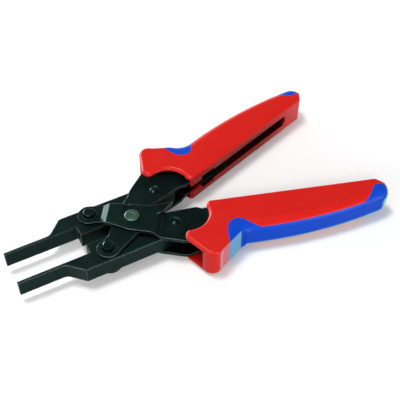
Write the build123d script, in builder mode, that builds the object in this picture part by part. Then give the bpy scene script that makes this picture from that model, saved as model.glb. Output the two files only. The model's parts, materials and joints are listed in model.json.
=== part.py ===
import os
from math import asin, atan2, cos, degrees, hypot, radians, sin

from build123d import *

# Parallel-acting pliers. Millimetres, Z up. X runs from the jaw tips to the handle ends.
# The origin is on the pivot axis, on the surface that the tool lies on.
# The far handle and jaw lie at +Y. Turned half over about the long axis, they make the near ones.

# Linkage: bolts and slide pins stand at the corners of a rectangle about the pivot
bolt_x = 19.5
bolt_y = 13.0
closing_angle = 18.0
stop_play = 0.15

# Stock and running clearances
plate = 2.0
jaw_height = 9.8
side_play = 0.1
layer_play = 0.1
running_play = 0.05
seat_play = 0.03

# Jaws
blade_reach = 69.0
blade_length = 25.7
blade_gap = 19.2
blade_thickness = 1.8
step_length = 8.3
step_radius = 5.0
jaw_width = 39.2
shoulder_reach = 28.6
shoulder_end = 9.0
tail_flat_end = 9.0
tail_wall = 1.6
tail_heel = (33.0, 25.0)
tail_corner = 1.5
throat_run = 3.5
jaw_edge = 0.35

# Handle plates
link_radius = 6.2
ramp_start = 13.3
ramp_run = 3.3
tang_start = 33.5
tang_drop = 2.0
tang_reach = 72.0
neck_reach = 39.0
neck_inset = 1.9
tang_width = 11.0
tang_rivet_inset = 12.0
plate_corner = 2.0

# Pins, bolts, rivet and spring
pivot_radius = 3.0
pivot_head_radius = 4.0
pivot_head_height = 0.9
pivot_head_edge = 0.55
pivot_dimple_radius = 1.5
pivot_dimple_depth = 0.35
bush_play = 0.45
bolt_radius = 1.5
bolt_across_flats = 5.5
bolt_head_height = 2.0
bolt_head_edge = 0.3
washer_radius = 4.2
washer_thickness = 0.5
nut_height = 1.8
jaw_bush_radius = 2.5
slide_pin_radius = 2.5
slide_pin_dome = 0.75
slide_pin_sink = 0.5
tang_rivet_radius = 2.0
tang_rivet_collar = 3.5
spring_radius = 2.8
spring_wire = 0.45
spring_turns = 6
spring_x = 12.0
spring_seat_depth = 1.2
spring_seat_play = 0.3

# Grips, in plan: the inner face, the round rear end, the outer flank, the horn and the front hollow
grip_half_height = 9.2
grip_front = (41.5, 9.0)
grip_rear = (133.0, 38.6)
grip_tail = (137.0, 46.4)
flank_end = (129.5, 51.2)
flank_mid = (95.0, 47.9)
flank_front = (54.0, 37.5)
waist = (48.9, 35.4)
horn_back = (32.6, 42.4)
horn_top = (27.6, 44.1)
horn_shoulder = (23.2, 39.8)
horn_tip_back = (19.9, 30.0)
horn_tip = (19.4, 26.3)
horn_tip_front = (22.2, 22.7)
hollow_mid = (35.9, 20.3)
hollow_end = (39.5, 11.5)
grip_round = 1.9
grip_corner = 2.2
flank_round = 6.0
cutter_reach = 14.0
cutter_lap = 5.0
fade_radius = 9.0
fade_turn = 84.0
fade_reach = 8.0
blank_outer = [(142.4, 57.0), (95.0, 54.0), (60.0, 47.0)]
mouth_play = 0.15
mouth_wall = 1.3
mouth_front = 14.0
mouth_back = 46.0
mouth_outer = [(mouth_front, 38.6), (29.0, 38.3), (35.5, 34.4), (mouth_back, 30.8)]
window_start = 49.2
window_end = 58.6
window_half_height = 4.8
slot_end = 120.0
slot_half_height = 2.4
slot_wall = 2.2
hollow_start = 75.0
hollow_depth = 10.0
hollow_half_height = 6.4
inlay_depth = 1.2
inlay_end_depth = 0.8
band_half_height = 6.6
front_lobe = [
    (36.4, 44.5),
    (38.2, 39.6),
    (41.2, 32.2),
    (45.6, 28.2),
    (50.4, 28.6),
    (53.4, 32.4),
    (57.5, 36.9),
    (61.0, 39.4),
    (66.0, 44.0),
]
tail_lobe = [
    (110.0, 54.0),
    (116.0, 50.2),
    (120.6, 48.8),
    (123.9, 47.0),
    (127.0, 44.5),
    (130.0, 43.0),
    (133.3, 44.0),
    (139.0, 46.0),
]
inlay_reach = 62.0

# Worked out: heights from the middle of the tool
inner_low = jaw_height / 2 + side_play
inner_high = inner_low + plate
outer_low = inner_high + layer_play
outer_high = outer_low + plate
mid_height = outer_high + pivot_head_height
mid_plane = Plane.XY.offset(mid_height)
turn_axis = Axis((0, 0, mid_height), (1, 0, 0))

# Worked out: travel of the jaws and of the pins in the tail slots
arm_length = hypot(bolt_x, bolt_y)
arm_angle = atan2(bolt_y, bolt_x)
closed_angle = arm_angle - radians(closing_angle / 2)
jaw_travel = bolt_y - arm_length * sin(closed_angle)
slot_travel = 2 * (arm_length * cos(closed_angle) - bolt_x)
slot_radius = slide_pin_radius + running_play
tail_radius = slot_radius + tail_wall
tail_inner = bolt_y - tail_radius
tail_end = bolt_x + slot_travel + stop_play
shoulder_inner = jaw_travel + stop_play
blade_inner = blade_gap / 2
blade_outer = blade_inner + blade_thickness
jaw_outer = jaw_width / 2
pivot_bush_radius = tail_inner - jaw_travel - bush_play

# Worked out: the direction along the inner face of the grip, and out of it
grip_angle = atan2(grip_rear[1] - grip_front[1], grip_rear[0] - grip_front[0])
along = Vector(cos(grip_angle), sin(grip_angle))
outward = Vector(-sin(grip_angle), cos(grip_angle))


def on_inner_face(x, depth):
    """Point at x on the line that runs depth inside the grip's inner face."""
    face_y = grip_front[1] + (x - grip_front[0]) * along.Y / along.X
    return (x, face_y + depth / along.X)


# Outline of a handle plate in plan, with its link end at the front and its tang at the back
link_centre = (-bolt_x, -bolt_y)
hub_near = (-1.0, -10.6)
crotch = (12.5, 3.7)
neck = on_inner_face(neck_reach, neck_inset)
tang_inner = on_inner_face(tang_reach, neck_inset)
tang_outer = on_inner_face(tang_reach, neck_inset + tang_width)
tang_waist = (44.0, 29.4)
tang_shoulder = (27.0, 31.3)
tang_rivet_place = on_inner_face(tang_reach - tang_rivet_inset, neck_inset + tang_width / 2)
arm_outer = (18.2, 27.6)
arm_front = (7.6, 19.3)
hub_far = (3.8, 15.0)
hub_front = (-5.7, 7.8)
link_notch = (-16.5, -5.4)
spur = [(2.0, -8.7), (12.1, -1.7), (24.1, 1.2), (16.6, 5.2), (6.0, 5.0)]


def sheet_profile(raised):
    """Side view of a plate along its arm, from the link past the hub to the tang."""
    hub_low = outer_low if raised else inner_low
    ramp_end = ramp_start + ramp_run
    steps = [
        (-tang_reach, inner_low),
        (-ramp_end, inner_low),
        (-ramp_start, hub_low),
        (ramp_start, hub_low),
        (ramp_end, inner_low),
        (tang_start, inner_low),
        (tang_start + ramp_run, inner_low - tang_drop),
        (2 * tang_reach, inner_low - tang_drop),
    ]
    if not raised:
        steps = steps[:1] + steps[5:]
    return steps + [(s, z + plate) for s, z in reversed(steps)]


def handle_plate(raised):
    """Plate of the far handle, above the middle. The raised one steps over the flat one at the hub."""
    arm_plane = Plane(
        origin=(0, 0, mid_height),
        x_dir=(cos(arm_angle), sin(arm_angle), 0),
        z_dir=(sin(arm_angle), -cos(arm_angle), 0),
    )
    to_hub = Vector(*hub_near) - Vector(*link_centre)
    lean = atan2(to_hub.Y, to_hub.X) + asin(link_radius / to_hub.length)
    link_leave = (link_centre[0] + link_radius * sin(lean), link_centre[1] - link_radius * cos(lean))
    link_front = (link_centre[0] - link_radius, link_centre[1])
    link_top = (link_centre[0], link_centre[1] + link_radius)
    with BuildPart() as sheet:
        with BuildSketch(arm_plane):
            with BuildLine():
                Polyline(*sheet_profile(raised), close=True)
            make_face()
        extrude(amount=tang_reach, both=True)
        with BuildSketch(mid_plane) as outline:
            with BuildLine():
                ThreePointArc(link_leave, link_front, link_top)
                Polyline(link_top, link_notch, hub_front, hub_far, arm_front, arm_outer, tang_shoulder)
                Polyline(tang_shoulder, tang_waist, tang_outer, tang_inner, neck)
                Polyline(neck, crotch, hub_near, link_leave)
            make_face()
            rounded = [link_notch, hub_front, hub_far, arm_front, arm_outer]
            rounded += [tang_shoulder, tang_waist, crotch, hub_near]
            fillet([outline.vertices().sort_by_distance((*point, 0))[0] for point in rounded], plate_corner)
        extrude(amount=mid_height, mode=Mode.INTERSECT)
        if raised:
            with BuildSketch(mid_plane.offset(outer_low)):
                with BuildLine():
                    Polyline(*spur, close=True)
                make_face()
            extrude(amount=plate)
        with BuildSketch(mid_plane):
            Circle(pivot_radius + running_play)
            with Locations(link_centre):
                Circle(bolt_radius + seat_play)
            with Locations((bolt_x, bolt_y)):
                Circle(slide_pin_radius + seat_play)
            with Locations(tang_rivet_place):
                Circle(tang_rivet_radius + seat_play)
        extrude(amount=mid_height, mode=Mode.SUBTRACT)
        rims = sheet.edges().filter_by(GeomType.CIRCLE)
        chamfer(rims.sort_by_distance((bolt_x, bolt_y, mid_height + inner_high))[0], slide_pin_sink)
    return sheet.part


with BuildPart() as far_top_plate:
    add(handle_plate(raised=False))

with BuildPart() as far_bottom_plate:
    add(handle_plate(raised=True).mirror(mid_plane))

with BuildPart() as near_top_plate:
    add(far_bottom_plate.part.rotate(turn_axis, 180))

with BuildPart() as near_bottom_plate:
    add(far_top_plate.part.rotate(turn_axis, 180))

# Far jaw: a thin blade, a step up to the body, a shoulder that stops the closing and a slotted tail
step_foot = blade_length - blade_reach
step_head = step_foot + step_length
with BuildPart() as far_jaw:
    with BuildSketch(mid_plane.offset(-jaw_height / 2)):
        with BuildLine():
            Polyline(
                (throat_run - shoulder_end, tail_inner),
                (-shoulder_end, shoulder_inner),
                (-shoulder_reach, shoulder_inner),
                (-shoulder_reach, blade_inner),
                (-blade_reach, blade_inner),
                (-blade_reach, blade_outer),
                (step_foot, blade_outer),
                (step_head, jaw_outer),
                (tail_flat_end, jaw_outer),
                (tail_heel[1], bolt_y + tail_radius),
                (tail_heel[0], tail_inner),
                close=True,
            )
        make_face()
    extrude(amount=jaw_height)
    step_corner = far_jaw.edges().filter_by(Axis.Z).sort_by_distance((step_foot, blade_outer, mid_height))[0]
    fillet(step_corner, step_radius)
    heel = [(tail_heel[0], tail_inner, mid_height), (tail_heel[1], bolt_y + tail_radius, mid_height)]
    upright = far_jaw.edges().filter_by(Axis.Z)
    fillet([upright.sort_by_distance(point)[0] for point in heel], tail_corner)
    for face in (far_jaw.faces().sort_by(Axis.Z)[-1], far_jaw.faces().sort_by(Axis.Z)[0]):
        chamfer(face.outer_wire().edges(), jaw_edge)
    with BuildSketch(mid_plane.offset(-jaw_height / 2)):
        with Locations(((bolt_x + tail_end - stop_play) / 2, bolt_y)):
            SlotCenterToCenter(slot_travel + 2 * stop_play, 2 * slot_radius)
        with Locations((-bolt_x, bolt_y)):
            Circle(jaw_bush_radius + seat_play)
    extrude(amount=jaw_height, mode=Mode.SUBTRACT)
    spring_seat = Plane(origin=(spring_x, tail_inner, mid_height), x_dir=(1, 0, 0), z_dir=(0, 1, 0))
    with BuildSketch(spring_seat):
        Circle(spring_radius + spring_wire + spring_seat_play)
    extrude(amount=spring_seat_depth, mode=Mode.SUBTRACT)

with BuildPart() as near_jaw:
    add(far_jaw.part.rotate(turn_axis, 180))

# Pivot: a rivet with flat round heads, and the bush that holds the plates apart
with BuildPart() as pivot_rivet:
    with BuildSketch(mid_plane.offset(-outer_high)):
        Circle(pivot_radius)
    extrude(amount=2 * outer_high)
    for level, way in ((outer_high, 1), (-outer_high, -1)):
        with BuildSketch(mid_plane.offset(level)):
            Circle(pivot_head_radius)
        extrude(amount=way * pivot_head_height)
    ends = pivot_rivet.faces().filter_by(Axis.Z).sort_by(Axis.Z)
    chamfer(ends[-1].edges() + ends[0].edges(), pivot_head_edge)
    with BuildSketch(mid_plane.offset(outer_high + pivot_head_height)):
        Circle(pivot_dimple_radius)
    extrude(amount=-pivot_dimple_depth, mode=Mode.SUBTRACT)

with BuildPart() as pivot_bush:
    with BuildSketch(mid_plane.offset(seat_play - inner_low)):
        Circle(pivot_bush_radius)
        Circle(pivot_radius + seat_play, mode=Mode.SUBTRACT)
    extrude(amount=2 * (inner_low - seat_play))

# Far jaw bolt, with its head on top, a washer above and below the plates, and a thin nut
washer_top = inner_high + washer_thickness
with BuildPart() as far_jaw_bolt:
    with BuildSketch(mid_plane.offset(-washer_top - nut_height)):
        with Locations((-bolt_x, bolt_y)):
            Circle(bolt_radius)
    extrude(amount=2 * washer_top + nut_height)
    with BuildSketch(mid_plane.offset(washer_top)):
        with Locations((-bolt_x, bolt_y)):
            RegularPolygon(bolt_across_flats / 2, 6, major_radius=False)
    extrude(amount=bolt_head_height)
    chamfer(far_jaw_bolt.faces().sort_by(Axis.Z)[-1].edges(), bolt_head_edge)

with BuildPart() as far_jaw_nut:
    with BuildSketch(mid_plane.offset(-washer_top - nut_height)):
        with Locations((-bolt_x, bolt_y)):
            RegularPolygon(bolt_across_flats / 2, 6, major_radius=False)
            Circle(bolt_radius + seat_play, mode=Mode.SUBTRACT)
    extrude(amount=nut_height)
    chamfer(far_jaw_nut.faces().sort_by(Axis.Z)[0].outer_wire().edges(), bolt_head_edge)

with BuildPart() as far_jaw_washers:
    for level in (inner_high, -washer_top):
        with BuildSketch(mid_plane.offset(level)):
            with Locations((-bolt_x, bolt_y)):
                Circle(washer_radius)
                Circle(bolt_radius + seat_play, mode=Mode.SUBTRACT)
        extrude(amount=washer_thickness)

with BuildPart() as far_jaw_bush:
    with BuildSketch(mid_plane.offset(-jaw_height / 2)):
        with Locations((-bolt_x, bolt_y)):
            Circle(jaw_bush_radius)
            Circle(bolt_radius + running_play, mode=Mode.SUBTRACT)
    extrude(amount=jaw_height)

# The near jaw's bolt set is the same, on the other side of the pivot, with its head on top too
to_near_side = Location((0, -2 * bolt_y, 0))
with BuildPart() as near_jaw_bolt:
    add(far_jaw_bolt.part.moved(to_near_side))

with BuildPart() as near_jaw_nut:
    add(far_jaw_nut.part.moved(to_near_side))

with BuildPart() as near_jaw_washers:
    add(far_jaw_washers.part.moved(to_near_side))

with BuildPart() as near_jaw_bush:
    add(far_jaw_bush.part.moved(to_near_side))

# Slide pin through the far plates and the far jaw's slot, with domed ends
pin_top = inner_high + slide_pin_dome
with BuildPart() as far_slide_pin:
    with BuildSketch(Plane(origin=(bolt_x, bolt_y, mid_height), x_dir=(1, 0, 0), z_dir=(0, -1, 0))):
        with BuildLine():
            Line((0, -pin_top), (0, pin_top))
            TangentArc((0, pin_top), (slide_pin_radius, inner_high), tangent=(1, 0))
            Line((slide_pin_radius, inner_high), (slide_pin_radius, -inner_high))
            TangentArc((0, -pin_top), (slide_pin_radius, -inner_high), tangent=(1, 0))
        make_face()
    revolve(axis=Axis((bolt_x, bolt_y, mid_height), (0, 0, 1)))

with BuildPart() as near_slide_pin:
    add(far_slide_pin.part.rotate(turn_axis, 180))

# Rivet that ties the two tangs inside the grip, with a collar between them
tang_low = inner_low - tang_drop
with BuildPart() as far_tang_rivet:
    with BuildSketch(mid_plane.offset(-tang_low - plate)):
        with Locations(tang_rivet_place):
            Circle(tang_rivet_radius)
    extrude(amount=2 * (tang_low + plate))
    with BuildSketch(mid_plane.offset(seat_play - tang_low)):
        with Locations(tang_rivet_place):
            Circle(tang_rivet_collar)
    extrude(amount=2 * (tang_low - seat_play))

with BuildPart() as near_tang_rivet:
    add(far_tang_rivet.part.rotate(turn_axis, 180))

# Compression spring between the two jaw tails
spring_length = 2 * (tail_inner + spring_seat_depth - spring_wire - seat_play)
with BuildPart() as return_spring:
    with BuildLine() as coil:
        Helix(
            pitch=spring_length / spring_turns,
            height=spring_length,
            radius=spring_radius,
            center=(spring_x, -spring_length / 2, mid_height),
            direction=(0, 1, 0),
        )
    with BuildSketch(Plane(origin=coil.line @ 0, z_dir=coil.line % 0)):
        Circle(spring_wire)
    sweep(path=coil.line, is_frenet=True)

# Grip: a blank with small rounds first, left wide where the flank is carved to a large round
with BuildSketch() as grip_blank:
    with BuildLine():
        Polyline(hollow_end, grip_front, grip_rear, *blank_outer, waist, horn_back)
        ThreePointArc(horn_back, horn_top, horn_shoulder)
        Line(horn_shoulder, horn_tip_back)
        ThreePointArc(horn_tip_back, horn_tip, horn_tip_front)
        ThreePointArc(horn_tip_front, hollow_mid, hollow_end)
    make_face()
    fillet(grip_blank.vertices(), grip_corner)

with BuildLine() as flank:
    ThreePointArc(flank_front, flank_mid, flank_end)

with BuildLine() as tail:
    TangentArc(flank_end, grip_tail, tangent=flank.line % 1)


def turn_between(centre, start, end):
    """Signed angle from start to end about the centre, in degrees."""
    first, last = Vector(*start) - centre, Vector(*end) - centre
    return degrees(atan2(first.cross(last).Z, first.dot(last)))


def edge_cutter(half_height, centre, start, turn, side, reach):
    """Cutter that rounds the grip along an arc. Side is 1 where the grip holds the arc's centre, else -1."""
    arm = start - centre
    arc_axis = Axis((centre.X, centre.Y, mid_height), (0, 0, 1))
    section = Plane(origin=arc_axis.position, x_dir=(arm.X, arm.Y, 0), z_dir=(-arm.Y, arm.X, 0))
    with BuildPart() as cutter:
        with BuildSketch(section):
            with Locations((arm.length + side * (reach - flank_round) / 2, 0)):
                Rectangle(reach + flank_round, 4 * half_height)
            with Locations((arm.length - side * 2 * flank_round, 0)):
                RectangleRounded(4 * flank_round, 2 * half_height, flank_round, mode=Mode.SUBTRACT)
        revolve(axis=arc_axis, revolution_arc=turn)
    return cutter.part


def fading_cutter(half_height, point, arc_centre, way):
    """Cutter that goes on from the end of an arc and leaves the grip, so that the large round fades out."""
    outwards = (Vector(*point) - arc_centre).normalized()
    centre = Vector(*point) + outwards * fade_radius
    start = centre + (Vector(*point) - centre).rotate(Axis.Z, -way * cutter_lap)
    return edge_cutter(half_height, centre, start, way * (fade_turn + cutter_lap), -1, fade_reach)


flank_centre, tail_centre = flank.edge().arc_center, tail.edge().arc_center
flank_turn = turn_between(flank_centre, flank_front, flank_end) - cutter_lap
tail_turn = turn_between(tail_centre, flank_end, grip_tail)
round_arcs = [(flank_centre, flank_front, flank_turn), (tail_centre, flank_end, tail_turn)]


def grip_shape(half_height):
    """The whole grip, with no inlay and no hollow, up to half_height above and below the middle."""
    with BuildPart() as form:
        with BuildSketch(mid_plane.offset(-half_height)):
            add(grip_blank.sketch)
        extrude(amount=2 * half_height)
        for face in (form.faces().sort_by(Axis.Z)[-1], form.faces().sort_by(Axis.Z)[0]):
            fillet(face.edges(), grip_round)
        for centre, point, turn in round_arcs:
            add(edge_cutter(half_height, centre, Vector(*point), turn, 1, cutter_reach), mode=Mode.SUBTRACT)
        add(fading_cutter(half_height, flank_front, flank_centre, -1), mode=Mode.SUBTRACT)
        add(fading_cutter(half_height, grip_tail, tail_centre, 1), mode=Mode.SUBTRACT)
    return form.part


# Inlay: a skin on the flank with a lobe at each end, as deep as a smaller grip inside the grip leaves it
grip_form = grip_shape(grip_half_height)
inlay_back = grip_shape(grip_half_height - inlay_depth).moved(Location((-inlay_end_depth, -inlay_depth, 0)))
with BuildPart() as inlay_form:
    band_from, band_to = front_lobe[4], tail_lobe[4]
    with BuildSketch(mid_plane.offset(-band_half_height)):
        with BuildLine():
            Polyline(band_from, band_to, (band_to[0], inlay_reach), (band_from[0], inlay_reach), close=True)
        make_face()
    extrude(amount=2 * band_half_height)
    for lobe in (front_lobe, tail_lobe):
        with BuildSketch(mid_plane.offset(-mid_height)):
            with BuildLine():
                Spline(*lobe)
                Polyline(lobe[-1], (lobe[-1][0], inlay_reach), (lobe[0][0], inlay_reach), lobe[0])
            make_face()
        extrude(amount=2 * mid_height)
    add(inlay_back, mode=Mode.SUBTRACT)

with BuildPart() as far_grip:
    add(grip_form)
    add(inlay_form.part, mode=Mode.SUBTRACT)
    with BuildSketch(mid_plane.offset(-inner_high - mouth_play)):
        with BuildLine():
            Polyline(
                *mouth_outer,
                on_inner_face(mouth_back, mouth_wall),
                on_inner_face(mouth_front, mouth_wall),
                close=True,
            )
        make_face()
    extrude(amount=2 * (inner_high + mouth_play), mode=Mode.SUBTRACT)
    with BuildSketch(mid_plane.offset(-tang_low - plate - seat_play)):
        with BuildLine():
            Polyline(
                on_inner_face(neck_reach, neck_inset - seat_play),
                on_inner_face(tang_reach + mouth_play, neck_inset - seat_play),
                on_inner_face(tang_reach + mouth_play, neck_inset + tang_width + mouth_play),
                (tang_waist[0], tang_waist[1] + mouth_play),
                close=True,
            )
        make_face()
    extrude(amount=2 * (tang_low + plate + seat_play), mode=Mode.SUBTRACT)
    inner_face = Plane(
        origin=(*grip_front, mid_height), x_dir=(along.X, along.Y, 0), z_dir=(outward.X, outward.Y, 0)
    )
    window_from, window_to, hollow_from, slot_to = [
        (x - grip_front[0]) / along.X for x in (window_start, window_end, hollow_start, slot_end)
    ]
    with BuildSketch(inner_face):
        with Locations((slot_to / 2 - slot_half_height, 0)):
            SlotOverall(slot_to + 2 * slot_half_height, 2 * slot_half_height)
    extrude(amount=slot_wall + hollow_depth, mode=Mode.SUBTRACT)
    with BuildSketch(inner_face):
        with Locations(((window_from + window_to) / 2, 0)):
            Rectangle(window_to - window_from, 2 * window_half_height)
    extrude(amount=neck_inset + seat_play, mode=Mode.SUBTRACT)
    with BuildSketch(inner_face.offset(slot_wall)):
        with Locations(((hollow_from + slot_to) / 2, 0)):
            Rectangle(slot_to - hollow_from, 2 * hollow_half_height)
    extrude(amount=hollow_depth, mode=Mode.SUBTRACT)

with BuildPart() as far_grip_inlay:
    add(grip_form)
    add(inlay_form.part, mode=Mode.INTERSECT)

with BuildPart() as near_grip:
    add(far_grip.part.rotate(turn_axis, 180))

with BuildPart() as near_grip_inlay:
    add(far_grip_inlay.part.rotate(turn_axis, 180))

solids = {
    "far_top_plate": far_top_plate,
    "far_bottom_plate": far_bottom_plate,
    "near_top_plate": near_top_plate,
    "near_bottom_plate": near_bottom_plate,
    "far_jaw": far_jaw,
    "near_jaw": near_jaw,
    "far_jaw_bush": far_jaw_bush,
    "near_jaw_bush": near_jaw_bush,
    "pivot_rivet": pivot_rivet,
    "pivot_bush": pivot_bush,
    "far_jaw_bolt": far_jaw_bolt,
    "near_jaw_bolt": near_jaw_bolt,
    "far_jaw_washers": far_jaw_washers,
    "near_jaw_washers": near_jaw_washers,
    "far_jaw_nut": far_jaw_nut,
    "near_jaw_nut": near_jaw_nut,
    "far_slide_pin": far_slide_pin,
    "near_slide_pin": near_slide_pin,
    "far_tang_rivet": far_tang_rivet,
    "near_tang_rivet": near_tang_rivet,
    "return_spring": return_spring,
    "far_grip": far_grip,
    "near_grip": near_grip,
    "far_grip_inlay": far_grip_inlay,
    "near_grip_inlay": near_grip_inlay,
}
os.makedirs("parts", exist_ok=True)
for name, piece in solids.items():
    piece.part.label = name
    export_step(piece.part, f"parts/{name}.step")
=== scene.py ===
import json
from math import cos, pi, radians, sin, sqrt

import bmesh
import bpy
from mathutils import Matrix, Vector


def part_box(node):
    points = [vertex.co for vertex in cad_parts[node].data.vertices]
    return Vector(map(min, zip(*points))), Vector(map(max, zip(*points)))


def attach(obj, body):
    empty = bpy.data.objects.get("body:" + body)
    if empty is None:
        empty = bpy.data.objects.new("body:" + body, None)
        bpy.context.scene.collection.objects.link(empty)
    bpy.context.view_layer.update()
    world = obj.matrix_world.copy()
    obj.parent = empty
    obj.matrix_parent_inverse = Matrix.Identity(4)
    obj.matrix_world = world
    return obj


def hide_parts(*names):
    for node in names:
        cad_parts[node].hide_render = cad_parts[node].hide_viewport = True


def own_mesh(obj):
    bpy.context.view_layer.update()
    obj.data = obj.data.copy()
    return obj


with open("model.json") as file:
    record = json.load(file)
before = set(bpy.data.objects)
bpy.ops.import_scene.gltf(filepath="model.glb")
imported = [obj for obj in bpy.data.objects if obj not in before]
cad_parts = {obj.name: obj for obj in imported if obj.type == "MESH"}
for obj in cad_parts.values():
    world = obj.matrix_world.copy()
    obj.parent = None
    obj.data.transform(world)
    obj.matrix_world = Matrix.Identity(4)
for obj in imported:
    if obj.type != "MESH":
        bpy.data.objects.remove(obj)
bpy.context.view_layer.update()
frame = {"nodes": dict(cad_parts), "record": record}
nodes = frame["nodes"]
scene = bpy.context.scene
mm = 0.001
number = "NodeSocketFloat"
bodyOf = {n: b for b, names in frame["record"]["behaviour"]["bodies"].items() for n in names}
slotOf = {p["node"]: p["material_slot"] for p in frame["record"]["subparts"]}
print("frame loaded:", len(nodes), "nodes")


# a node's socket, by identifier or else by name
def socketOf(sockets, name):
    for socket in sockets:
        if socket.identifier == name:
            return socket
    return sockets[name]


# a new node with its properties and input values set, in a shader tree or a geometry tree
def place(tree, kind, values=None, **props):
    node = tree.nodes.new(kind)
    for name, value in props.items():
        setattr(node, name, value)
    for name, value in (values or {}).items():
        socketOf(node.inputs, name).default_value = value
    return node


def wire(tree, source, out, target, into):
    tree.links.new(socketOf(source.outputs, out), socketOf(target.inputs, into))


# a node group with named inputs and outputs
def newTree(name, kind, inputs, outputs):
    tree = bpy.data.node_groups.new(name, kind)
    for label, socketKind in inputs.items():
        tree.interface.new_socket(label, in_out="INPUT", socket_type=socketKind)
    for label, socketKind in outputs.items():
        tree.interface.new_socket(label, in_out="OUTPUT", socket_type=socketKind)
    return tree, tree.nodes.new("NodeGroupInput"), tree.nodes.new("NodeGroupOutput")


grainLook = {
    "noise": {"Detail": 3.0, "Roughness": 0.6},
    "pebbles": {"Smoothness": 0.6},
    "speckle": {"From Min": 0.35, "From Max": 0.65},
}


# fine moulded or blasted grain, as a height and a matching speckle
def makeGrainGroup(look):
    tree, given, result = newTree(
        "surfaceGrain",
        "ShaderNodeTree",
        {"Scale": number, "Pebble": number},
        {"Height": number, "Speckle": number},
    )
    coords = place(tree, "ShaderNodeTexCoord")
    noise = place(tree, "ShaderNodeTexNoise", look["noise"])
    pebbles = place(tree, "ShaderNodeTexVoronoi", look["pebbles"], feature="SMOOTH_F1")
    mix = place(tree, "ShaderNodeMix", data_type="FLOAT")
    speckle = place(tree, "ShaderNodeMapRange", look["speckle"])
    for texture in (noise, pebbles):
        wire(tree, coords, "Object", texture, "Vector")
        wire(tree, given, "Scale", texture, "Scale")
    wire(tree, given, "Pebble", mix, "Factor_Float")
    wire(tree, noise, "Fac", mix, "A_Float")
    wire(tree, pebbles, "Distance", mix, "B_Float")
    wire(tree, mix, "Result_Float", result, "Height")
    wire(tree, noise, "Fac", speckle, "Value")
    wire(tree, speckle, "Result", result, "Speckle")
    return tree


edgeLook = {
    "samples": 6,
    "noise": {"Detail": 4.0},
    "patches": {"From Min": 0.3, "From Max": 0.7, "To Min": 0.35},
}


# mask of the edges, broken up by noise, where a finish rubs thin, and where painted highlights go
# along the edges
def makeEdgeGroup(look):
    tree, given, result = newTree(
        "edgeWearHighlight",
        "ShaderNodeTree",
        {"Width": number, "Amount": number, "Break Scale": number},
        {"Mask": number},
    )
    coords = place(tree, "ShaderNodeTexCoord")
    bevel = place(tree, "ShaderNodeBevel", samples=look["samples"])
    shape = place(tree, "ShaderNodeNewGeometry")
    alike = place(tree, "ShaderNodeVectorMath", operation="DOT_PRODUCT")
    turned = place(tree, "ShaderNodeMath", {"Value": 1.0}, operation="SUBTRACT")
    noise = place(tree, "ShaderNodeTexNoise", look["noise"])
    patchy = place(tree, "ShaderNodeMapRange", look["patches"])
    grown = place(tree, "ShaderNodeMath", operation="MULTIPLY")
    mask = place(tree, "ShaderNodeMath", operation="MULTIPLY", use_clamp=True)
    wire(tree, given, "Width", bevel, "Radius")
    wire(tree, bevel, "Normal", alike, "Vector")
    wire(tree, shape, "Normal", alike, "Vector_001")
    wire(tree, alike, "Value", turned, "Value_001")
    wire(tree, turned, "Value", grown, "Value")
    wire(tree, given, "Amount", grown, "Value_001")
    wire(tree, coords, "Object", noise, "Vector")
    wire(tree, given, "Break Scale", noise, "Scale")
    wire(tree, noise, "Fac", patchy, "Value")
    wire(tree, grown, "Value", mask, "Value")
    wire(tree, patchy, "Result", mask, "Value_001")
    wire(tree, mask, "Value", result, "Mask")
    return tree


handlingLook = {
    "noise": {"Detail": 2.0, "Distortion": 0.6},
    "span": {"From Min": 0.3, "From Max": 0.7},
}


# broad soft patches from handling, between a low and a high value
def makeHandlingGroup(look):
    tree, given, result = newTree(
        "handlingPatches",
        "ShaderNodeTree",
        {"Scale": number, "Low": number, "High": number},
        {"Value": number},
    )
    coords = place(tree, "ShaderNodeTexCoord")
    noise = place(tree, "ShaderNodeTexNoise", look["noise"])
    span = place(tree, "ShaderNodeMapRange", look["span"])
    wire(tree, coords, "Object", noise, "Vector")
    wire(tree, given, "Scale", noise, "Scale")
    wire(tree, noise, "Fac", span, "Value")
    wire(tree, given, "Low", span, "To Min")
    wire(tree, given, "High", span, "To Max")
    wire(tree, span, "Result", result, "Value")
    return tree


# painted sheen: mask of the upright sides that turn away from the eye, broken up by speckle, where
# a light painted reflection goes
def makePaintedSheenGroup():
    labels = ("Facing", "Speckle", "From", "To", "Most", "Thin", "Thick")
    tree, given, result = newTree(
        "paintedSheenMask", "ShaderNodeTree", {label: number for label in labels}, {"Mask": number}
    )
    shape = place(tree, "ShaderNodeNewGeometry")
    parts = place(tree, "ShaderNodeSeparateXYZ")
    level = place(tree, "ShaderNodeMath", operation="ABSOLUTE")
    upright = place(tree, "ShaderNodeMath", {"Value": 1.0}, operation="SUBTRACT")
    turned = place(tree, "ShaderNodeMapRange")
    sheenBreakup = place(tree, "ShaderNodeMapRange")
    spread = place(tree, "ShaderNodeMath", operation="MULTIPLY")
    mask = place(tree, "ShaderNodeMath", operation="MULTIPLY", use_clamp=True)
    wire(tree, shape, "Normal", parts, "Vector")
    wire(tree, parts, "Z", level, "Value")
    wire(tree, level, "Value", upright, "Value_001")
    wire(tree, given, "Facing", turned, "Value")
    wire(tree, given, "From", turned, "From Min")
    wire(tree, given, "To", turned, "From Max")
    wire(tree, given, "Most", turned, "To Max")
    wire(tree, given, "Speckle", sheenBreakup, "Value")
    wire(tree, given, "Thin", sheenBreakup, "To Min")
    wire(tree, given, "Thick", sheenBreakup, "To Max")
    wire(tree, turned, "Result", spread, "Value")
    wire(tree, sheenBreakup, "Result", spread, "Value_001")
    wire(tree, spread, "Value", mask, "Value")
    wire(tree, upright, "Value", mask, "Value_001")
    wire(tree, mask, "Value", result, "Mask")
    return tree


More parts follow.
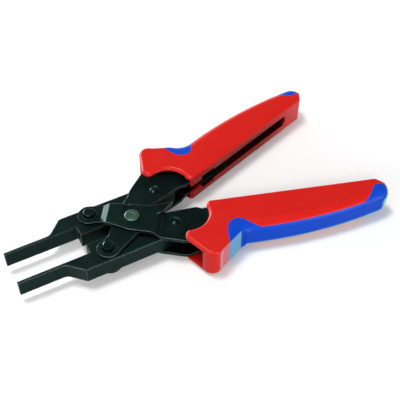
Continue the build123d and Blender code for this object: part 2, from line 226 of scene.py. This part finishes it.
groups = {
    "grain": makeGrainGroup(grainLook),
    "edge": makeEdgeGroup(edgeLook),
    "handling": makeHandlingGroup(handlingLook),
    "paintedSheen": makePaintedSheenGroup(),
}
facingBlend = 0.5
# painted shade: the grips' faces behind the slot carry this attribute, and a dark tone is painted
# on them
paintedShadeMark = "hollow"  # face attribute of the grips, 1 behind the slot


# lay a tone over a colour, as far as a mask says
def layTone(tree, colour, tone, mask, maskOut):
    mix = place(tree, "ShaderNodeMix", {"B_Color": (*tone, 1)}, data_type="RGBA")
    wire(tree, colour, "Result_Color", mix, "A_Color")
    wire(tree, mask, maskOut, mix, "Factor_Float")
    return mix


# a finish: two tones mixed by speckle, an edge tone that is partly worn edge and partly painted
# highlight, patchy roughness and a fine bump, and where it has them a painted sheen in a light tone
# at grazing angles and a painted shade in a dark tone behind the slot
def makeFinish(name, finish):
    material = bpy.data.materials.new(name)
    material.use_nodes = True
    tree = material.node_tree
    shader = tree.nodes["Principled BSDF"]
    for socketName, value in finish["shader"].items():
        shader.inputs[socketName].default_value = value
    grain, edge, handling = [
        place(tree, "ShaderNodeGroup", finish[key], node_tree=groups[key])
        for key in ("grain", "edge", "handling")
    ]
    tones = {"A_Color": (*finish["tone"], 1), "B_Color": (*finish["fleck"], 1)}
    speckled = place(tree, "ShaderNodeMix", tones, data_type="RGBA")
    wire(tree, grain, "Speckle", speckled, "Factor_Float")
    # edge tone: partly worn edge, partly painted highlight along the edges
    colour = layTone(tree, speckled, finish["edgeWearAndHighlight"], edge, "Mask")
    # painted sheen: a light tone painted over the colour on upright sides at grazing angles,
    # standing in for a reflection
    if "paintedSheen" in finish:
        facing = place(tree, "ShaderNodeLayerWeight", {"Blend": facingBlend})
        paintedSheen = place(tree, "ShaderNodeGroup", finish["paintedSheen"], node_tree=groups["paintedSheen"])
        wire(tree, facing, "Facing", paintedSheen, "Facing")
        wire(tree, grain, "Speckle", paintedSheen, "Speckle")
        colour = layTone(tree, colour, finish["pale"], paintedSheen, "Mask")
    # painted shade: a dark tone painted on the faces behind the slot
    if "hollow" in finish:
        paintedShadeMask = place(tree, "ShaderNodeAttribute", attribute_name=paintedShadeMark)
        colour = layTone(tree, colour, finish["hollow"], paintedShadeMask, "Fac")
    bump = place(tree, "ShaderNodeBump", finish["bump"])
    wire(tree, colour, "Result_Color", shader, "Base Color")
    wire(tree, handling, "Value", shader, "Roughness")
    wire(tree, grain, "Height", bump, "Height")
    wire(tree, bump, "Normal", shader, "Normal")
    return material


finishes = {
    "black_steel": {
        "shader": {"Metallic": 1.0},
        "tone": (0.0072, 0.0225, 0.0182),
        "fleck": (0.0098, 0.0275, 0.0227),
        # a strong light edge tone: partly wear through the oxide, partly painted highlight
        "edgeWearAndHighlight": (0.20, 0.29, 0.26),
        "grain": {"Scale": 5200.0, "Pebble": 0.3},
        "edge": {"Width": 0.60 * mm, "Amount": 14.0, "Break Scale": 700.0},
        "handling": {"Scale": 95.0, "Low": 0.34, "High": 0.46},
        "bump": {"Strength": 0.12, "Distance": 0.04 * mm},
    },
    "bare_steel": {
        "shader": {"Metallic": 1.0},
        "tone": (0.085, 0.195, 0.140),
        "fleck": (0.110, 0.230, 0.170),
        "edgeWearAndHighlight": (0.50, 0.64, 0.57),
        "grain": {"Scale": 4200.0, "Pebble": 0.2},
        "edge": {"Width": 0.30 * mm, "Amount": 2.0, "Break Scale": 900.0},
        "handling": {"Scale": 160.0, "Low": 0.28, "High": 0.42},
        "bump": {"Strength": 0.10, "Distance": 0.03 * mm},
    },
    "dark_fastener": {
        "shader": {"Metallic": 1.0},
        "tone": (0.0085, 0.0235, 0.0190),
        "fleck": (0.0125, 0.0300, 0.0245),
        "edgeWearAndHighlight": (0.24, 0.33, 0.30),
        "grain": {"Scale": 4600.0, "Pebble": 0.2},
        "edge": {"Width": 0.40 * mm, "Amount": 6.0, "Break Scale": 900.0},
        "handling": {"Scale": 150.0, "Low": 0.27, "High": 0.37},
        "bump": {"Strength": 0.06, "Distance": 0.03 * mm},
    },
    "grip_red": {
        "shader": {"Specular IOR Level": 0.26, "Sheen Weight": 0.05, "Sheen Roughness": 0.35},
        "tone": (0.60, 0.0085, 0.0045),
        "fleck": (0.64, 0.0100, 0.0055),
        "edgeWearAndHighlight": (0.74, 0.035, 0.030),
        "grain": {"Scale": 2600.0, "Pebble": 0.4},
        "edge": {"Width": 0.50 * mm, "Amount": 0.8, "Break Scale": 500.0},
        "handling": {"Scale": 70.0, "Low": 0.30, "High": 0.40},
        # painted sheen at grazing angles, in the light tone below
        "paintedSheen": {"From": 0.55, "To": 0.76, "Most": 0.85, "Thin": 0.8, "Thick": 1.2},
        "pale": (0.80, 0.38, 0.46),
        # painted shade on the faces behind the slot
        "hollow": (0.045, 0.003, 0.003),
        "bump": {"Strength": 0.05, "Distance": 0.04 * mm},
    },
    "inlay_blue": {
        "shader": {
            "Specular IOR Level": 0.15,
            "Sheen Weight": 0.20,
            "Sheen Roughness": 0.35,
            "Sheen Tint": (0.25, 0.85, 1.0, 1),
        },
        "tone": (0.0012, 0.048, 0.49),
        "fleck": (0.0020, 0.064, 0.58),
        "edgeWearAndHighlight": (0.020, 0.16, 0.74),
        "grain": {"Scale": 1500.0, "Pebble": 0.6},
        "edge": {"Width": 0.60 * mm, "Amount": 0.8, "Break Scale": 500.0},
        "handling": {"Scale": 70.0, "Low": 0.40, "High": 0.50},
        # painted sheen at grazing angles, in the light tone below
        "paintedSheen": {"From": 0.55, "To": 0.80, "Most": 0.95, "Thin": 0.6, "Thick": 1.5},
        "pale": (0.40, 0.92, 0.75),
        "bump": {"Strength": 0.25, "Distance": 0.12 * mm},
    },
}
materials = {slot: makeFinish(slot, finish) for slot, finish in finishes.items()}
for nodeName, node in nodes.items():
    node.data.materials.clear()
    node.data.materials.append(materials[slotOf[nodeName]])
print("finishes made:", len(materials))


# a mesh as a piece of the visual model, in place of CAD nodes
def asPiece(name, mesh, body, slot, *standsFor):
    piece = bpy.data.objects.new(name, mesh)
    scene.collection.objects.link(piece)
    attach(piece, body)
    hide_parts(*standsFor)
    return piece


# a point's distance along a grip's inner face, behind it, and above the middle
def slotPlace(point, slot):
    start, end = Vector(slot["faceStart"]), Vector(slot["faceEnd"])
    along = (end - start).normalized()
    inward = Vector((-along.y, along.x))
    reach = Vector((point.x, abs(point.y))) - start
    return reach.dot(along), reach.dot(inward), point.z - slot["middle"]


# open the long slot in a grip's inner face to its full height
def openSlot(shape, slot):
    for vert in shape.verts:
        run, depth, rise = slotPlace(vert.co, slot)
        if abs(rise) < slot["within"] and depth < slot["depth"] and run > slot["from"]:
            vert.co.z = slot["middle"] + rise * slot["stretch"]


# mark the faces behind the slot, which get a painted shade
def markPaintedShade(shape, slot):
    mark = shape.faces.layers.float.new(paintedShadeMark)
    for face in shape.faces:
        run, depth, rise = slotPlace(face.calc_center_median(), slot)
        inRun = slot["darkFrom"] < run < slot["darkTo"]
        inDepth = slot["lip"] < depth < slot["depth"]
        face[mark] = float(inRun and inDepth and abs(rise) < slot["hollowHalf"])


# a merged copy of a node, with its edges rounded over and its curves shaded smooth
def roundedCopy(nodeName, rounding):
    mesh = nodes[nodeName].data.copy()
    mesh.name = nodeName + "Mesh"
    flatAngle = radians(rounding["flatAngle"])
    sharpAngle = radians(rounding["sharpAngle"])
    shape = bmesh.new()
    shape.from_mesh(mesh)
    bmesh.ops.remove_doubles(shape, verts=shape.verts, dist=mergeReach)
    if "slot" in rounding:
        openSlot(shape, rounding["slot"])
    bmesh.ops.dissolve_limit(shape, angle_limit=flatAngle, verts=shape.verts, edges=shape.edges)
    if "slot" in rounding:
        markPaintedShade(shape, rounding["slot"])
    shape.to_mesh(mesh)
    shape.free()
    draft = bpy.data.objects.new(nodeName + "Draft", mesh)
    scene.collection.objects.link(draft)
    bevel = draft.modifiers.new("edges", "BEVEL")
    bevel.width = rounding["width"]
    bevel.segments = rounding["segments"]
    bevel.limit_method = "ANGLE"
    bevel.angle_limit = sharpAngle
    bevel.miter_outer = "MITER_ARC"
    weighted = draft.modifiers.new("shading", "WEIGHTED_NORMAL")
    weighted.keep_sharp = True
    mesh.shade_smooth()
    mesh.set_sharp_from_angle(angle=sharpAngle)
    evaluated = draft.evaluated_get(bpy.context.evaluated_depsgraph_get())
    rounded = bpy.data.meshes.new_from_object(evaluated)
    bpy.data.objects.remove(draft)
    rounded.name = nodeName + "Rounded"
    asPiece(nodeName + "_finished", rounded, bodyOf[nodeName], slotOf[nodeName], nodeName)


mergeReach = 0.001 * mm
gripSlot = {
    "faceStart": (41.5 * mm, 9.0 * mm),
    "faceEnd": (133.0 * mm, 38.6 * mm),
    "middle": 10.0 * mm,
    "from": 15.0 * mm,
    "within": 2.45 * mm,
    "depth": 12.4 * mm,
    "stretch": 1.45,
    # span of the painted shade behind the slot
    "darkFrom": 1.0 * mm,
    "darkTo": 84.5 * mm,
    "lip": 0.9 * mm,
    "hollowHalf": 6.6 * mm,
}
sheetEdges = {"flatAngle": 0.5, "width": 0.38 * mm, "segments": 3, "sharpAngle": 32.0}
jawEdges = {"flatAngle": 0.5, "width": 0.15 * mm, "segments": 2, "sharpAngle": 32.0}
inlayEdges = {"flatAngle": 0.2, "width": 0.30 * mm, "segments": 2, "sharpAngle": 40.0}
gripEdges = {**inlayEdges, "slot": gripSlot}
turnedEdges = {"flatAngle": 0.2, "width": 0.10 * mm, "segments": 2, "sharpAngle": 35.0}
roundings = {
    "near_top_plate": sheetEdges,
    "near_bottom_plate": sheetEdges,
    "far_top_plate": sheetEdges,
    "far_bottom_plate": sheetEdges,
    "near_jaw": jawEdges,
    "far_jaw": jawEdges,
    "near_grip": gripEdges,
    "far_grip": gripEdges,
    "near_grip_inlay": inlayEdges,
    "far_grip_inlay": inlayEdges,
    "pivot_rivet": turnedEdges,
    "near_slide_pin": turnedEdges,
    "far_slide_pin": turnedEdges,
}
for nodeName, rounding in roundings.items():
    roundedCopy(nodeName, rounding)
print("rounded copies made")


# a geometry tree with number inputs and a material
def newShapeTree(name, labels):
    inputs = {"Geometry": "NodeSocketGeometry", **{label: number for label in labels}}
    inputs["Material"] = "NodeSocketMaterial"
    return newTree(name, "GeometryNodeTree", inputs, {"Geometry": "NodeSocketGeometry"})


# the end of a geometry tree: real instances and the material
def endShapeTree(tree, given, result, source, out):
    real = place(tree, "GeometryNodeRealizeInstances")
    paint = place(tree, "GeometryNodeSetMaterial")
    wire(tree, source, out, real, "Geometry")
    wire(tree, real, "Geometry", paint, "Geometry")
    wire(tree, given, "Material", paint, "Material")
    wire(tree, paint, "Geometry", result, "Geometry")


# run a geometry tree with its inputs set, and hand back a plain mesh
def grow(tree, values, name):
    seed = bpy.data.objects.new(name + "Seed", bpy.data.meshes.new(name + "Seed"))
    scene.collection.objects.link(seed)
    modifier = seed.modifiers.new("tree", "NODES")
    modifier.node_group = tree
    for item in tree.interface.items_tree:
        if item.in_out == "INPUT" and item.name in values:
            modifier[item.identifier] = values[item.name]
    evaluated = seed.evaluated_get(bpy.context.evaluated_depsgraph_get())
    mesh = bpy.data.meshes.new_from_object(evaluated)
    bpy.data.objects.remove(seed)
    mesh.name = name
    return mesh


# geometry tree for a coil spring that rises along Z from 0
def makeSpringTree(spring):
    tree, given, result = newShapeTree(
        "coilSpring", ("Coil Radius", "Wire Radius", "Length", "Turns")
    )
    spiral = place(tree, "GeometryNodeCurveSpiral", {"Resolution": spring["turnSteps"]})
    section = place(tree, "GeometryNodeCurvePrimitiveCircle", {"Resolution": spring["wireSides"]})
    tube = place(tree, "GeometryNodeCurveToMesh", {"Fill Caps": True})
    smooth = place(tree, "GeometryNodeSetShadeSmooth")
    wire(tree, given, "Turns", spiral, "Rotations")
    wire(tree, given, "Coil Radius", spiral, "Start Radius")
    wire(tree, given, "Coil Radius", spiral, "End Radius")
    wire(tree, given, "Length", spiral, "Height")
    wire(tree, given, "Wire Radius", section, "Radius")
    wire(tree, spiral, "Curve", tube, "Curve")
    wire(tree, section, "Curve", tube, "Profile Curve")
    wire(tree, tube, "Mesh", smooth, "Geometry")
    endShapeTree(tree, given, result, smooth, "Geometry")
    return tree


spring = {
    "wire": 0.45 * mm,
    "turns": 6.0,
    "turnSteps": 48,
    "wireSides": 14,
    "travel": 6.45 * mm,
    "body": "near_jaw_body",
}
springLow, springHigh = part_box("return_spring")
springCentre = (springLow + springHigh) / 2
springRadius = (springHigh.x - springLow.x) / 2 - spring["wire"]
springLength = springHigh.y - springLow.y - 2 * spring["wire"]
springMesh = grow(
    makeSpringTree(spring),
    {
        "Coil Radius": springRadius,
        "Wire Radius": spring["wire"],
        "Length": springLength,
        "Turns": spring["turns"],
        "Material": materials["bare_steel"],
    },
    "returnSpring",
)
springMesh.transform(
    Matrix.Translation(springCentre)
    @ Matrix.Rotation(-pi / 2, 4, "X")
    @ Matrix.Translation((0, 0, -springLength / 2))
)
springPiece = asPiece(
    "return_spring_coil", springMesh, spring["body"], "bare_steel", "return_spring"
)
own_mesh(springPiece)
print("spring made")


# geometry tree for a bolt along Z: a hexagon with a turned chamfer above 0, a shank below it
def makeBoltTree(bolt):
    tree, given, result = newShapeTree(
        "hexBolt", ("Across Flats", "Head Height", "Crown", "Shank Radius", "Shank Length")
    )
    half = {"Value_001": 0.5}
    corner = place(tree, "ShaderNodeMath", {"Value_001": bolt["cornerShare"]}, operation="MULTIPLY")
    crown = place(tree, "ShaderNodeMath", operation="MULTIPLY")
    spread = place(
        tree, "ShaderNodeMath", {"Value_001": bolt["chamferRun"]}, operation="MULTIPLY_ADD"
    )
    halfHead = place(tree, "ShaderNodeMath", half, operation="MULTIPLY")
    shankDepth = place(tree, "ShaderNodeMath", operation="ADD")
    shankDrop = place(tree, "ShaderNodeMath", operation="SUBTRACT")
    shankMiddle = place(tree, "ShaderNodeMath", half, operation="MULTIPLY")
    headRise = place(tree, "ShaderNodeCombineXYZ")
    shankRise = place(tree, "ShaderNodeCombineXYZ")
    hexagon = place(tree, "GeometryNodeMeshCylinder", {"Vertices": bolt["headSides"]})
    cone = place(tree, "GeometryNodeMeshCone", {"Vertices": bolt["chamferSides"]})
    shank = place(tree, "GeometryNodeMeshCylinder", {"Vertices": bolt["shankSides"]})
    liftedHead = place(tree, "GeometryNodeTransform")
    loweredShank = place(tree, "GeometryNodeTransform")
    turned = place(tree, "GeometryNodeMeshBoolean", operation="INTERSECT", solver="EXACT")
    whole = place(tree, "GeometryNodeMeshBoolean", operation="UNION", solver="EXACT")
    wire(tree, given, "Across Flats", corner, "Value")
    wire(tree, given, "Across Flats", crown, "Value")
    wire(tree, given, "Crown", crown, "Value_001")
    wire(tree, given, "Head Height", spread, "Value")
    wire(tree, crown, "Value", spread, "Value_002")
    wire(tree, given, "Head Height", halfHead, "Value")
    wire(tree, given, "Shank Length", shankDepth, "Value")
    wire(tree, halfHead, "Value", shankDepth, "Value_001")
    wire(tree, halfHead, "Value", shankDrop, "Value")
    wire(tree, given, "Shank Length", shankDrop, "Value_001")
    wire(tree, shankDrop, "Value", shankMiddle, "Value")
    wire(tree, halfHead, "Value", headRise, "Z")
    wire(tree, shankMiddle, "Value", shankRise, "Z")
    wire(tree, corner, "Value", hexagon, "Radius")
    wire(tree, given, "Head Height", hexagon, "Depth")
    wire(tree, crown, "Value", cone, "Radius Top")
    wire(tree, spread, "Value", cone, "Radius Bottom")
    wire(tree, given, "Head Height", cone, "Depth")
    wire(tree, given, "Shank Radius", shank, "Radius")
    wire(tree, shankDepth, "Value", shank, "Depth")
    wire(tree, hexagon, "Mesh", liftedHead, "Geometry")
    wire(tree, headRise, "Vector", liftedHead, "Translation")
    wire(tree, shank, "Mesh", loweredShank, "Geometry")
    wire(tree, shankRise, "Vector", loweredShank, "Translation")
    wire(tree, liftedHead, "Geometry", turned, "Mesh 2")
    wire(tree, cone, "Mesh", turned, "Mesh 2")
    wire(tree, turned, "Mesh", whole, "Mesh 2")
    wire(tree, loweredShank, "Geometry", whole, "Mesh 2")
    endShapeTree(tree, given, result, whole, "Mesh")
    return tree


bolt = {
    "headHeight": 2.0 * mm,
    "shankRadius": 1.5 * mm,
    "crown": 0.475,
    "cornerShare": 1 / sqrt(3),
    "chamferRun": sqrt(3),
    "headSides": 6,
    "chamferSides": 96,
    "shankSides": 48,
}
boltTree = makeBoltTree(bolt)
for nodeName in ("far_jaw_bolt", "near_jaw_bolt"):
    low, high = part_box(nodeName)
    boltMesh = grow(
        boltTree,
        {
            "Across Flats": high.y - low.y,
            "Head Height": bolt["headHeight"],
            "Crown": bolt["crown"],
            "Shank Radius": bolt["shankRadius"],
            "Shank Length": high.z - low.z - bolt["headHeight"],
            "Material": materials["dark_fastener"],
        },
        nodeName + "Turned",
    )
    headSeat = ((low.x + high.x) / 2, (low.y + high.y) / 2, high.z - bolt["headHeight"])
    boltMesh.transform(Matrix.Translation(headSeat))
    asPiece(nodeName + "_turned", boltMesh, bodyOf[nodeName], slotOf[nodeName], nodeName)
print("bolts made")

# camera at the place that the tool was seen from
view = {
    "place": (-0.100659, -0.264412, 0.340847),
    "yaw": 0.494,
    "pitch": 0.834,
    "roll": 0.003,
    "focalPixels": 792.936,
    "imagePixels": 400.0,
    "sensor": 36.0,
    "nearest": 0.01,
}
level = Vector((sin(view["yaw"]), cos(view["yaw"]), 0))
ahead = level * cos(view["pitch"]) - Vector((0, 0, sin(view["pitch"])))
across = Vector((level.y, -level.x, 0))
upward = across.cross(ahead)
rightAxis = cos(view["roll"]) * across + sin(view["roll"]) * upward
upAxis = cos(view["roll"]) * upward - sin(view["roll"]) * across
cameraData = bpy.data.cameras.new("studioCamera")
cameraData.sensor_width = view["sensor"]
cameraData.lens = view["focalPixels"] * view["sensor"] / view["imagePixels"]
cameraData.clip_start = view["nearest"]
camera = bpy.data.objects.new("studioCamera", cameraData)
scene.collection.objects.link(camera)
turn = Matrix((rightAxis, upAxis, -ahead)).transposed().to_4x4()
camera.matrix_world = Matrix.Translation(view["place"]) @ turn
scene.camera = camera


def grey(level):
    return (level, level, level, 1)


# how far a ray counts as seen: in full from the camera or through a clear piece, and by a share
# in a reflection
def seenShare(tree, lightPath, glossyShare):
    glossy = place(tree, "ShaderNodeMath", {"Value_001": glossyShare}, operation="MULTIPLY")
    seen = place(tree, "ShaderNodeMath", operation="MAXIMUM")
    anyWay = place(tree, "ShaderNodeMath", operation="MAXIMUM")
    wire(tree, lightPath, "Is Glossy Ray", glossy, "Value")
    wire(tree, lightPath, "Is Camera Ray", seen, "Value")
    wire(tree, glossy, "Value", seen, "Value_001")
    wire(tree, seen, "Value", anyWay, "Value")
    wire(tree, lightPath, "Is Transmission Ray", anyWay, "Value_001")
    return anyWay


# a floor that is grey to the light that it throws back, and that the camera sees as white with
# the object's shadow on it, whiter still further off; from below it is clear
def makeFloorMaterial(look):
    material = bpy.data.materials.new("paleFloor")
    material.use_nodes = True
    tree = material.node_tree
    tree.nodes.clear()
    lightPath = place(tree, "ShaderNodeLightPath")
    seen = seenShare(tree, lightPath, look["glossyShare"])
    point = place(tree, "ShaderNodeNewGeometry")
    reach = place(tree, "ShaderNodeVectorMath", operation="LENGTH")
    whiteSpan = {"From Min": look["whiteFrom"], "From Max": look["whiteTo"]}
    farWhite = place(tree, "ShaderNodeMapRange", whiteSpan, interpolation_type="SMOOTHSTEP")
    farSeen = place(tree, "ShaderNodeMath", operation="MULTIPLY")
    glowSpan = {"A_Float": look["seenGlow"], "B_Float": look["farGlow"]}
    glowLevel = place(tree, "ShaderNodeMix", glowSpan, data_type="FLOAT")
    plainPaint = place(tree, "ShaderNodeBsdfDiffuse", {"Color": grey(look["albedo"])})
    seenPaint = place(tree, "ShaderNodeBsdfDiffuse", {"Color": grey(look["seenAlbedo"])})
    glow = place(tree, "ShaderNodeEmission")
    lit = place(tree, "ShaderNodeAddShader")
    fromAbove = place(tree, "ShaderNodeMixShader")
    clear = place(tree, "ShaderNodeBsdfTransparent")
    whole = place(tree, "ShaderNodeMixShader")
    output = place(tree, "ShaderNodeOutputMaterial")
    wire(tree, point, "Position", reach, "Vector")
    wire(tree, reach, "Value", farWhite, "Value")
    wire(tree, farWhite, "Result", farSeen, "Value")
    wire(tree, lightPath, "Is Camera Ray", farSeen, "Value_001")
    wire(tree, farSeen, "Value", glowLevel, "Factor_Float")
    wire(tree, glowLevel, "Result_Float", glow, "Strength")
    wire(tree, seenPaint, "BSDF", lit, "Shader")
    wire(tree, glow, "Emission", lit, "Shader_001")
    wire(tree, seen, "Value", fromAbove, "Fac")
    wire(tree, plainPaint, "BSDF", fromAbove, "Shader")
    wire(tree, lit, "Shader", fromAbove, "Shader_001")
    wire(tree, point, "Backfacing", whole, "Fac")
    wire(tree, fromAbove, "Shader", whole, "Shader")
    wire(tree, clear, "BSDF", whole, "Shader_001")
    wire(tree, whole, "Shader", output, "Surface")
    return material


floorLook = {
    "size": 6.0,
    "level": -0.02 * mm,
    "albedo": 0.28,
    "seenAlbedo": 0.90,
    "seenGlow": 0.13,
    "farGlow": 1.0,
    "glossyShare": 0.6,
    "whiteFrom": 0.20,
    "whiteTo": 0.70,
}
floorMesh = bpy.data.meshes.new("floor")
floorShape = bmesh.new()
bmesh.ops.create_grid(floorShape, x_segments=1, y_segments=1, size=floorLook["size"] / 2)
floorShape.to_mesh(floorMesh)
floorShape.free()
floorMesh.transform(Matrix.Translation((0, 0, floorLook["level"])))
floorMesh.materials.append(makeFloorMaterial(floorLook))
floor = bpy.data.objects.new("floor", floorMesh)
scene.collection.objects.link(floor)

# world: an even low light, seen in reflections as a white sweep low down that darkens overhead
studio = {
    "even": 0.22,
    "horizon": 1.0,
    "overhead": 0.12,
    "fadeFrom": 0.18,
    "fadeTo": 0.45,
    "glossyShare": 1.0,
}
world = bpy.data.worlds.new("studio")
scene.world = world
world.use_nodes = True
worldTree = world.node_tree
backdrop = worldTree.nodes["Background"]
backdrop.inputs["Color"].default_value = grey(1)
direction = place(worldTree, "ShaderNodeTexCoord")
parts = place(worldTree, "ShaderNodeSeparateXYZ")
fade = place(
    worldTree,
    "ShaderNodeMapRange",
    {
        "From Min": studio["fadeFrom"],
        "From Max": studio["fadeTo"],
        "To Min": studio["horizon"],
        "To Max": studio["overhead"],
    },
    interpolation_type="SMOOTHSTEP",
)
skySeen = seenShare(worldTree, place(worldTree, "ShaderNodeLightPath"), studio["glossyShare"])
skyLevel = place(worldTree, "ShaderNodeMix", {"A_Float": studio["even"]}, data_type="FLOAT")
wire(worldTree, direction, "Generated", parts, "Vector")
wire(worldTree, parts, "Z", fade, "Value")
wire(worldTree, skySeen, "Value", skyLevel, "Factor_Float")
wire(worldTree, fade, "Result", skyLevel, "B_Float")
wire(worldTree, skyLevel, "Result_Float", backdrop, "Strength")

# lamps: each stands away from the aim in its direction, and lights it to its level
lamps = {
    "keySoftbox": {
        "towards": (-0.17, 0.20, 0.965),
        "away": 2.0,
        "size": (0.50, 0.50),
        "level": 0.59,
    },
    "leftSoftbox": {
        "towards": (-0.93, -0.27, 0.25),
        "away": 2.0,
        "size": (0.80, 0.60),
        "level": 0.34,
    },
    "lowStrip": {
        "towards": (0.30, -0.953, 0.035),
        "away": 2.0,
        "size": (0.70, 0.10),
        "level": 0.58,
    },
    "frontAccent": {
        "towards": (-0.38, -0.63, 0.65),
        "away": 1.6,
        "size": (0.25, 0.25),
        "level": 0.20,
    },
    "backStrip": {
        "towards": (-0.273, 0.949, 0.153),
        "away": 1.0,
        "size": (0.60, 0.12),
        "level": 0.82,
    },
}
studioAim = Vector((0.035, 0.0, 0.01))
for lampName, lamp in lamps.items():
    lampData = bpy.data.lights.new(lampName, "AREA")
    lampData.shape = "RECTANGLE"
    lampData.size, lampData.size_y = lamp["size"]
    lampData.energy = lamp["level"] * (pi * lamp["away"]) ** 2
    lampObject = bpy.data.objects.new(lampName, lampData)
    scene.collection.objects.link(lampObject)
    towards = Vector(lamp["towards"]).normalized()
    lampObject.location = studioAim + towards * lamp["away"]
    lampObject.rotation_euler = (-towards).to_track_quat("-Z", "Y").to_euler()
scene.view_settings.view_transform = "Standard"
print("studio set")
